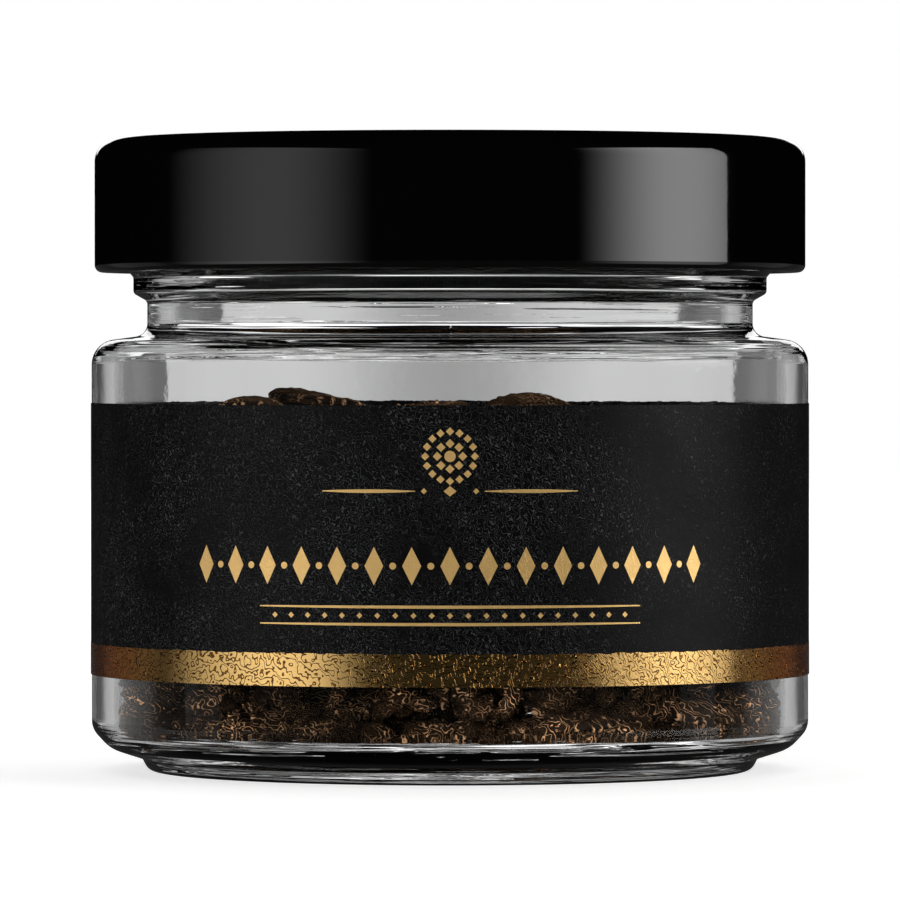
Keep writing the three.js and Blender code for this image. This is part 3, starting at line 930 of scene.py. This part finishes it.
class JAR_OT_ornament(bpy.types.Operator):
    """Make the plain gold ornament on the front of the label"""

    bl_idname = "truffle_jar.ornament"
    bl_label = "Gold Ornament"

    def execute(self, context):
        bm = bmesh.new()
        rosette(bm)
        divider(bm)
        frieze(bm)
        border(bm)
        wrap_round_jar(bm)
        bmesh.ops.recalc_face_normals(bm, faces=bm.faces)
        shade(bm)
        new_piece("foil_ornament", bm, "jar", gold_ink(context.scene.jar_label.foil))
        return {"FINISHED"}


# ---------------------------------------------------------------- truffle slices

SLICE_LEVELS = 3
QUAD_BEND = math.radians(40)
QUAD_SKEW = math.radians(60)
RIM_SECTORS = 48
CRIMP_DEPTH = 0.4
CRIMP_DROP = 0.25
CRIMP_LENGTH = 1.25
FEWEST_CRIMPS = 9
WANDER = 1.6  # how unevenly the crimps follow each other round the rim
WANDER_PACE = 2.0
WANDER_SHIFT = 9
WRINKLE = 0.12
WRINKLE_LENGTHS = (1.3, 3.5)

# Distances inwards from the rim between which a change comes on.
CRIMP_ZONE = (2.6, 0.2)
RIND_ZONE = (0.9, 0.25)
CREST_ZONE = (1.1, 0.3)

# Broken pieces: how far in and how high they lie, the share on the floor, and their size and shape.
CRUMB_SEED = 5
FOOT_INNER = 18.0
FOOT_HEIGHT = 10.0
OUTWARDS = 2  # the power that gathers them at the glass
GLASS_CLEARANCE = 0.1
ON_THE_FLOOR = 0.35
FRAGMENT_SIZES = (0.7, 2.6)
FRAGMENT_FLATNESS = 0.5
FRAGMENT_DENTS = 0.55
DENT_LENGTH = 0.8  # as a share of the piece's size
DENT_FIELD = 50


def rounded_slice(node):
    """A CAD slice merged, in quads and subdivided, as a bmesh."""
    bm = bmesh.new()
    bm.from_mesh(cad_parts[node].data)
    bmesh.ops.remove_doubles(bm, verts=bm.verts, dist=SAME_PLACE)
    bmesh.ops.join_triangles(
        bm, faces=bm.faces, angle_face_threshold=QUAD_BEND, angle_shape_threshold=QUAD_SKEW
    )
    mesh = bpy.data.meshes.new(node)
    bm.to_mesh(mesh)
    helper = new_object("subdivided", mesh)
    modifier = helper.modifiers.new("Rounding", "SUBSURF")
    modifier.levels = modifier.render_levels = SLICE_LEVELS
    bpy.context.view_layer.update()
    rounded = bpy.data.meshes.new_from_object(helper.evaluated_get(bpy.context.evaluated_depsgraph_get()))
    bm.clear()
    bm.from_mesh(rounded)
    bpy.data.objects.remove(helper)
    bpy.data.meshes.remove(mesh)
    bpy.data.meshes.remove(rounded)
    return bm


def thin_axis(bm):
    """The direction in which a slice is thinnest."""
    axis = Vector()
    for face in bm.faces:
        facing = face.normal * face.calc_area()
        axis += facing if facing.dot(axis) >= 0 else -facing
    return axis.normalized()


def shrivel(bm, seed):
    """Crimps the rim, wrinkles the faces and stores where the rind and the crests of the crimps are."""
    axis = thin_axis(bm)
    centre = sum((vert.co for vert in bm.verts), Vector()) / len(bm.verts)
    flat = [vert.co - centre - axis * axis.dot(vert.co - centre) for vert in bm.verts]
    side = flat[0].normalized()
    across = axis.cross(side)
    around = [math.atan2(f.dot(across), f.dot(side)) for f in flat]
    sectors = [int((angle / (2 * math.pi) + 1) * RIM_SECTORS) % RIM_SECTORS for angle in around]
    reach = [0.0] * RIM_SECTORS
    for f, sector in zip(flat, sectors):
        reach[sector] = max(reach[sector], f.length)
    average = sum(reach) / RIM_SECTORS
    crimps = max(FEWEST_CRIMPS, round(2 * math.pi * average / (CRIMP_LENGTH * MM)))
    rim = bm.verts.layers.float.new("rim")
    crest = bm.verts.layers.float.new("crest")
    for vert, f, angle, sector in zip(bm.verts, flat, around, sectors):
        inwards = (reach[sector] - f.length) / MM
        close = smoothstep(*CRIMP_ZONE, inwards)
        wander = WANDER * noise.noise(Vector((math.cos(angle), math.sin(angle), seed)) * WANDER_PACE)
        fold = 0.5 + 0.5 * math.sin(crimps * angle + WANDER_SHIFT * wander)
        above = axis.dot(vert.co - centre)
        vert[rim] = smoothstep(*RIND_ZONE, inwards + 0.5 * wander)
        vert[crest] = (1 - fold) * smoothstep(*CREST_ZONE, inwards)
        wrinkle = sum(noise.noise(vert.co / (length * MM)) for length in WRINKLE_LENGTHS)
        moved = f.normalized() * CRIMP_DEPTH * fold * close * close
        moved += vert.normal * WRINKLE * (1 - wrinkle)
        if above > 0:
            moved += axis * CRIMP_DROP * fold * close
        vert.co -= moved * MM
    bm.normal_update()


class JAR_OT_slices(bpy.types.Operator):
    """Make the dried slices from the plain ones in the frame"""

    bl_idname = "truffle_jar.slices"
    bl_label = "Dried Slices"

    def execute(self, context):
        material = dried_truffle(context.scene.jar_slices)
        nodes = sorted(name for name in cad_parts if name.startswith("truffle_slice_"))
        for number, node in enumerate(nodes, 1):
            bm = rounded_slice(node)
            shrivel(bm, number)
            shade(bm, sharp=ALL_SMOOTH)
            new_piece(f"dried_slice_{number:02d}", bm, "jar", material, [node])
        return {"FINISHED"}


def fragment(numbers, size):
    """An angular broken piece as a bmesh, flat on the floor or lying anyhow, along the foot of the heap."""
    bm = bmesh.new()
    bmesh.ops.create_uvsphere(bm, u_segments=8, v_segments=5, radius=size * MM)
    seed = Vector((numbers.random(), numbers.random(), numbers.random())) * DENT_FIELD
    for vert in bm.verts:
        vert.co *= 1 + FRAGMENT_DENTS * noise.noise(vert.co / (DENT_LENGTH * size * MM) + seed)
        vert.co.z *= FRAGMENT_FLATNESS
    reach = max(vert.co.length for vert in bm.verts) / MM
    turn = Matrix.Rotation(numbers.uniform(0, 2 * math.pi), 4, "Z")
    rise = FRAGMENT_FLATNESS * reach
    if numbers.random() > ON_THE_FLOOR:
        turn @= Matrix.Rotation(numbers.uniform(0, math.pi), 4, "X")
        rise = reach + FOOT_HEIGHT * numbers.random()
    angle = numbers.uniform(0, 2 * math.pi)
    outer = INNER_RADIUS - reach - GLASS_CLEARANCE
    radius = outer - (outer - FOOT_INNER) * numbers.random() ** OUTWARDS
    height = FLOOR_CROWN + (FLOOR_EDGE - FLOOR_CROWN) * radius / INNER_RADIUS + rise
    place = Vector((radius * math.cos(angle), radius * math.sin(angle), height)) * MM
    bm.transform(Matrix.Translation(place) @ turn)
    return bm


class JAR_OT_crumbs(bpy.types.Operator):
    """Make the broken pieces and crumbs along the foot of the heap"""

    bl_idname = "truffle_jar.crumbs"
    bl_label = "Crumbs"

    def execute(self, context):
        numbers = random.Random(CRUMB_SEED)
        bm = bmesh.new()
        part = bpy.data.meshes.new("fragment")
        for _ in range(context.scene.jar_slices.crumbs):
            piece = fragment(numbers, numbers.uniform(*FRAGMENT_SIZES))
            piece.to_mesh(part)
            piece.free()
            bm.from_mesh(part)
        bpy.data.meshes.remove(part)
        shade(bm, sharp=ALL_SMOOTH)
        new_piece("truffle_crumbs", bm, "jar", bpy.data.materials["Dried Truffle"])
        return {"FINISHED"}


# ---------------------------------------------------------------- stage

EYE = Vector((0, -0.946, 0.0502))
PITCH = math.radians(0.715)
LENS = 315.0
SENSOR_WIDTH = 36.0
NEAREST = 0.01

STAGE_HALF_WIDTH = 2.6
LIGHT_CENTRE = Vector((0, 0, 0.04))

# Each side light: name, direction and height of its middle above the jar's, size, radiance and the
# shares of its width over which it brightens and fades. Directions are in degrees from the front
# towards the right. The rim lights stand behind the jar and only edge the label and the foil.
SIDE_DISTANCE = 1.6
HIGH, LOW = 0.46, -0.34
LEFT_FADES = ((0.1, 0.6), (1.0, 0.6))
RIGHT_FADES = ((0.04, 0.58), (1.4, 0.6))
RIM_FADES = ((0.0, 0.3), (1.0, 0.7))
SIDE_LIGHTS = (
    ("softbox_left_high", -66.6, HIGH, (3.0, 0.9), 0.75, LEFT_FADES),
    ("softbox_left_low", -66.6, LOW, (3.0, 0.7), 1.1, LEFT_FADES),
    ("softbox_right_high", 68.8, HIGH, (1.9, 0.9), 3.7, RIGHT_FADES),
    ("softbox_right_low", 68.8, LOW, (1.9, 0.7), 1.0, RIGHT_FADES),
)
RIM_LIGHTS = (
    ("rim_left", -124, LOW, (1.5, 0.7), 0.09, RIM_FADES),
    ("rim_right", 124, LOW, (1.5, 0.7), 0.09, RIM_FADES),
)

# Each light that is turned to the jar: name, place, size, radiance and the kinds of ray that miss it.
# The top one gives the soft shadow, the fill beside the camera brings out the slices and the floor, and
# the low strip behind the jar edges the top of the lid with a thin bright line.
AIMED_LIGHTS = (
    ("softbox_top", (0, 0.44, 1.68), (1.6, 1.6), 2.0, ["glossy"]),
    ("front_fill", (-0.45, -1.4, 0.16), (0.9, 0.7), 11.0, ["glossy", "transmission"]),
    ("back_strip", (0, 1.9, 0.35), (0.9, 0.3), 1.5, ["transmission"]),
)

# Brightness of the surroundings and of the floor. Each change has its two edges, and the level before
# and after them. Aside is a direction's distance from the nearest wall's middle, as a sine.
FLOOR_GLOW = ((0.2, 0.9), (0.6, 0.95))
WALL_BY_ASIDE = ((0.0, 0.045), (0.42, 0.74))
NEAR_EDGE_BY_ASIDE = ((0.142, 0.13), (0.2, 1.0))
FAR_EDGE_BY_ASIDE = ((0.35, 0.5), (0.0, 0.5))
STRIPS_BY_WAVE = ((-0.2, 0.5), (0.01, 1.31))
STRIPS_BY_HEIGHT = ((0.0, -0.05), (1.0, 1.3))
TABLE_BY_HEIGHT = ((0.0, -0.03), (0.001, 0.041))
STRIP_SPACING = 0.16  # of the light strips, as the sine of their elevation
STRIPS_START = (0.05, 0.07)  # the same sine, between which they take over from the walls
STRIPS_FADE = (0.25, 0.35)  # of aside, between which they turn into one level
STRIPS_FADED = 0.55


def pale_floor():
    """A matt white floor that reads as bright as the surround further out."""
    material, tree, shader, where = new_material(
        "Pale Floor", {"Base Color": (0.8, 0.8, 0.8), "Roughness": 0.9}
    )
    away = new_node(tree, "ShaderNodeVectorMath", [(0, where)], operation="LENGTH").outputs["Value"]
    glow = stepped(tree, away, FLOOR_GLOW)
    seen = new_node(tree, "ShaderNodeLightPath").outputs["Is Camera Ray"]
    lit = new_node(tree, "ShaderNodeEmission", [("Strength", math_node(tree, "MULTIPLY", glow, seen))])
    both = new_node(tree, "ShaderNodeAddShader", [(0, shader.outputs[0]), (1, lit.outputs[0])])
    tree.links.new(both.outputs[0], tree.nodes["Material Output"].inputs["Surface"])
    bm = bmesh.new()
    bmesh.ops.create_grid(bm, x_segments=1, y_segments=1, size=STAGE_HALF_WIDTH)
    floor = finished("floor", bm, material)
    floor.visible_glossy = False
    floor.visible_transmission = False


def softbox(name, place, aim, size, radiance):
    """A soft rectangular light at a place, turned to another one."""
    light = bpy.data.lights.new(name, "AREA")
    light.shape = "RECTANGLE"
    light.size, light.size_y = size
    light.energy = radiance * math.pi * size[0] * size[1]
    lamp = new_object(name, light)
    lamp.location = place
    lamp.rotation_euler = (aim - place).to_track_quat("-Z", "Y").to_euler()
    lamp.visible_camera = False
    return lamp


def side_light(name, direction, height, size, radiance, fades):
    """An upright light at the jar's side that fades towards both ends. The low ones leave out the glass."""
    angle = math.radians(direction)
    outwards = Vector((math.sin(angle), -math.cos(angle), 0))
    aim = LIGHT_CENTRE + Vector((0, 0, height))
    lamp = softbox(name, aim + outwards * SIDE_DISTANCE, aim, size, radiance)
    lamp.data.use_nodes = True
    tree = lamp.data.node_tree
    across = new_node(tree, "ShaderNodeSeparateXYZ")
    tree.links.new(new_node(tree, "ShaderNodeNewGeometry").outputs["Parametric"], across.inputs[0])
    brightens, fades_out = (ramp(tree, across.outputs["X"], *ends) for ends in fades)
    strength = math_node(tree, "MULTIPLY", brightens, fades_out)
    tree.links.new(strength, tree.nodes["Emission"].inputs["Strength"])
    if height < 0:
        lamp.light_linking.receiver_collection = passed_by_low_lights()
    return lamp


def aimed_light(name, place, size, radiance, missed_by):
    """A light turned to the jar, which some kinds of ray miss."""
    lamp = softbox(name, Vector(place), LIGHT_CENTRE, size, radiance)
    for kind in missed_by:
        setattr(lamp, f"visible_{kind}", False)


def background(tree, **values):
    """The shader of a background with its colour or strength."""
    return new_node(tree, "ShaderNodeBackground", values.items()).outputs["Background"]


def studio_world():
    """White to the camera, a dark room in reflections, and lit walls and light strips through the glass."""
    world = bpy.data.worlds.new("Studio")
    bpy.context.scene.world = world
    world.use_nodes = True
    tree = world.node_tree
    tree.nodes.clear()
    direction = new_node(tree, "ShaderNodeTexCoord").outputs["Generated"]
    facing = new_node(tree, "ShaderNodeSeparateXYZ", [("Vector", direction)]).outputs
    sideways, onwards = (math_node(tree, "ABSOLUTE", facing[axis]) for axis in "XY")
    aside = math_node(tree, "MINIMUM", sideways, onwards)
    height = facing["Z"]

    wall = stepped(tree, aside, WALL_BY_ASIDE)
    near_edge = stepped(tree, aside, NEAR_EDGE_BY_ASIDE)
    far_edge = stepped(tree, aside, FAR_EDGE_BY_ASIDE)
    level = math_node(tree, "MULTIPLY_ADD", wall, near_edge, far_edge)

    wave = math_node(tree, "SINE", math_node(tree, "MULTIPLY", height, 2 * math.pi / STRIP_SPACING))
    strips = stepped(tree, wave, STRIPS_BY_WAVE)
    strips = math_node(tree, "MULTIPLY", strips, stepped(tree, height, STRIPS_BY_HEIGHT))
    strips = mix(tree, ramp(tree, aside, *STRIPS_FADE), strips, STRIPS_FADED)
    away = ramp(tree, math_node(tree, "ABSOLUTE", height), *STRIPS_START)

    path = new_node(tree, "ShaderNodeLightPath").outputs
    dark = background(tree, Strength=stepped(tree, height, TABLE_BY_HEIGHT))
    lit = background(tree, Strength=mix(tree, away, level, strips))
    white = background(tree, Color=(1.0, 1.0, 1.0, 1))
    around = choice(tree, path["Is Transmission Ray"], dark, lit)
    output = tree.nodes.new("ShaderNodeOutputWorld")
    tree.links.new(choice(tree, path["Is Camera Ray"], around, white), output.inputs["Surface"])


class JAR_OT_stage(bpy.types.Operator):
    """Make the camera, the floor and the lights"""

    bl_idname = "truffle_jar.stage"
    bl_label = "Stage"

    def execute(self, context):
        camera = new_object("camera", bpy.data.cameras.new("camera"))
        camera.location = EYE
        camera.rotation_euler = (math.pi / 2 - PITCH, 0, 0)
        camera.data.lens = LENS
        camera.data.sensor_width = SENSOR_WIDTH
        camera.data.clip_start = NEAREST
        context.scene.camera = camera
        context.scene.view_settings.view_transform = "Standard"

        pale_floor()
        for light in SIDE_LIGHTS:
            side_light(*light)
        for light in RIM_LIGHTS:
            side_light(*light).visible_transmission = False
        for light in AIMED_LIGHTS:
            aimed_light(*light)
        studio_world()
        return {"FINISHED"}


# ---------------------------------------------------------------- add-on


class JAR_PT_panel(bpy.types.Panel):
    """The buttons that make each piece, and the settings"""

    bl_label = "Jar of Dried Truffle"
    bl_idname = "JAR_PT_panel"
    bl_space_type = "VIEW_3D"
    bl_region_type = "UI"
    bl_category = "Truffle Jar"

    def draw(self, context):
        for operator in OPERATORS:
            self.layout.operator(operator.bl_idname)
        for settings in SETTINGS:
            group = getattr(context.scene, settings)
            for name in group.bl_rna.properties.keys():
                if name not in ("rna_type", "name"):
                    self.layout.prop(group, name)


SETTINGS = {
    "jar_glass": GlassSettings,
    "jar_lid": LidSettings,
    "jar_label": LabelSettings,
    "jar_slices": SliceSettings,
}
OPERATORS = (
    JAR_OT_stage,
    JAR_OT_glass,
    JAR_OT_lid,
    JAR_OT_seal,
    JAR_OT_label,
    JAR_OT_ornament,
    JAR_OT_slices,
    JAR_OT_crumbs,
)


def register():
    for made in (*SETTINGS.values(), *OPERATORS, JAR_PT_panel):
        bpy.utils.register_class(made)
    for name, settings in SETTINGS.items():
        setattr(bpy.types.Scene, name, bpy.props.PointerProperty(type=settings))


def unregister():
    for name in SETTINGS:
        delattr(bpy.types.Scene, name)
    for made in (JAR_PT_panel, *reversed(OPERATORS), *SETTINGS.values()):
        bpy.utils.unregister_class(made)


def main():
    register()
    for operator in OPERATORS:
        area, name = operator.bl_idname.split(".")
        getattr(getattr(bpy.ops, area), name)()


if __name__ == "__main__":
    main()
